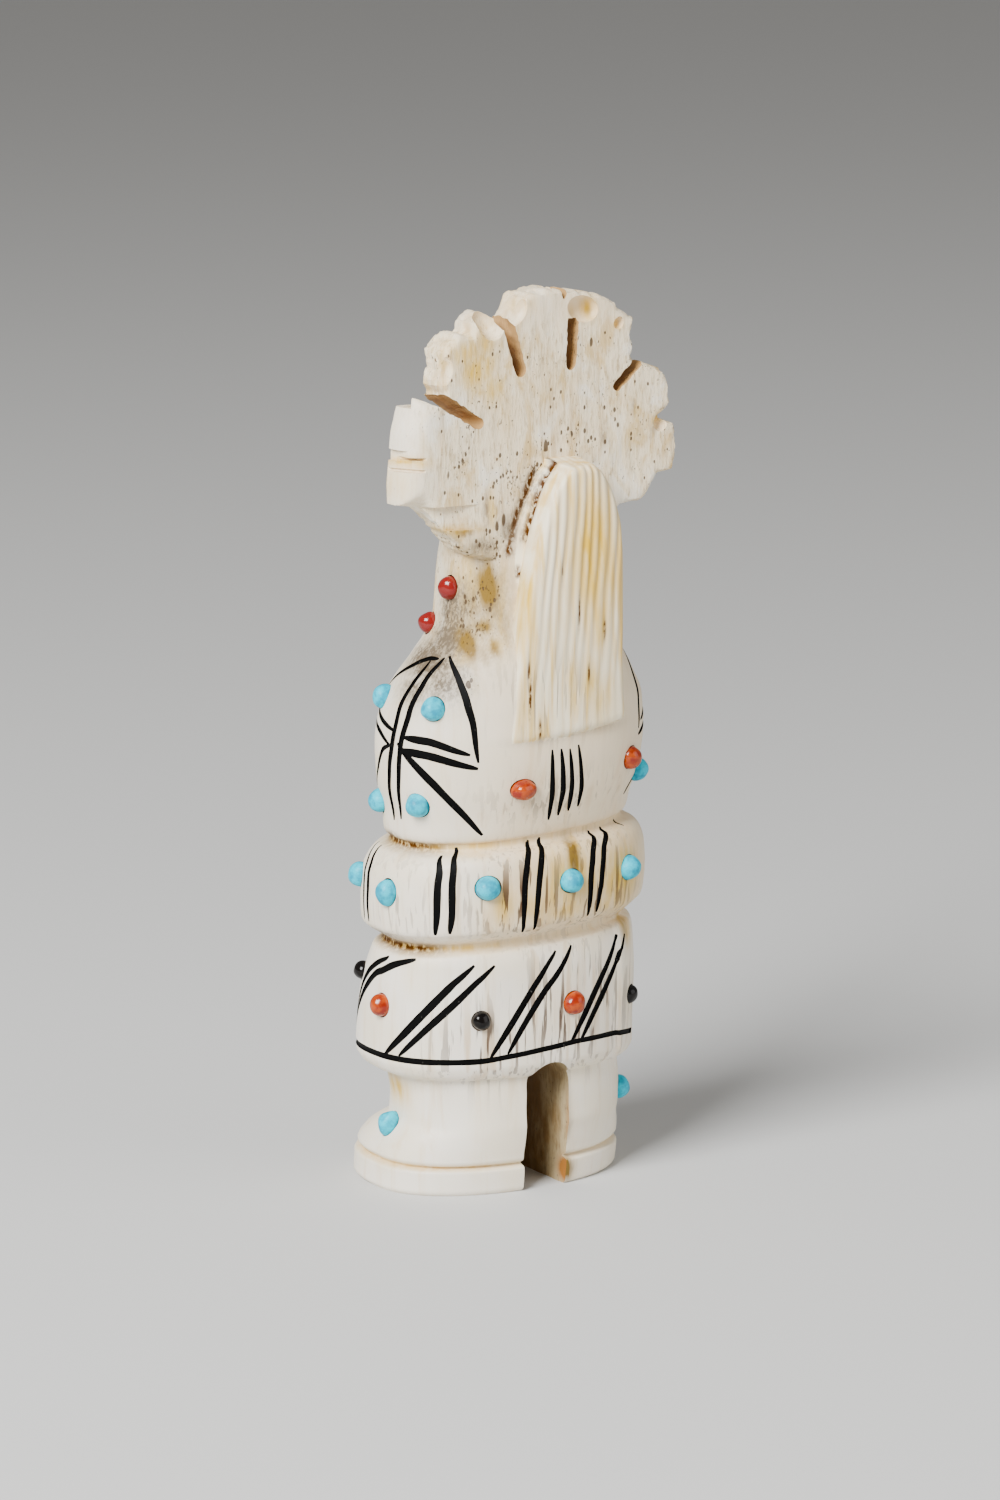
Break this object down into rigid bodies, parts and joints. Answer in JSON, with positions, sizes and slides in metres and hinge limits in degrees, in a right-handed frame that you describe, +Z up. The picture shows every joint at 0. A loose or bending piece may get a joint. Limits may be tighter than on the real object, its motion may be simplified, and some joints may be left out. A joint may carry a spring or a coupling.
{
  "type": "fetish carving",
  "caption": "Carved antler fetish: a standing dancer with a rayed headdress, long hair, belt, skirt and boots, set with small round stones.",
  "frame": {"origin": "centre of the bounding box on the plane that the boots stand on", "axes": "+Z up, the figure faces -Y, its own left is +X"},
  "size_m": [0.0318, 0.0258, 0.0899],
  "materials": {
    "antler": "satin polished antler, porous core showing on the headdress, black filled lines",
    "turquoise": "polished turquoise",
    "coral": "polished red coral",
    "jet": "polished black jet"
  },
  "bodies": {
    "root": {"back_coral_1": "coral", "back_coral_2": "coral", "belt_turquoise_1": "turquoise", "belt_turquoise_10": "turquoise", "belt_turquoise_2": "turquoise", "belt_turquoise_3": "turquoise", "belt_turquoise_4": "turquoise", "belt_turquoise_5": "turquoise", "belt_turquoise_6": "turquoise", "belt_turquoise_7": "turquoise", "belt_turquoise_8": "turquoise", "belt_turquoise_9": "turquoise", "boot_turquoise_1": "turquoise", "boot_turquoise_2": "turquoise", "carving": "antler", "ear_coral_1": "coral", "ear_coral_2": "coral", "front_coral_1": "coral", "front_coral_2": "coral", "left_shoulder_turquoise_1": "turquoise", "left_shoulder_turquoise_2": "turquoise", "left_shoulder_turquoise_3": "turquoise", "left_shoulder_turquoise_4": "turquoise", "neck_coral_1": "coral", "neck_coral_2": "coral", "neck_coral_3": "coral", "right_shoulder_turquoise_1": "turquoise", "right_shoulder_turquoise_2": "turquoise", "right_shoulder_turquoise_3": "turquoise", "right_shoulder_turquoise_4": "turquoise", "skirt_coral_1": "coral", "skirt_coral_2": "coral", "skirt_coral_3": "coral", "skirt_coral_4": "coral", "skirt_coral_5": "coral", "skirt_jet_1": "jet", "skirt_jet_2": "jet", "skirt_jet_3": "jet", "skirt_jet_4": "jet", "skirt_jet_5": "jet"}
  },
  "joints": []
}
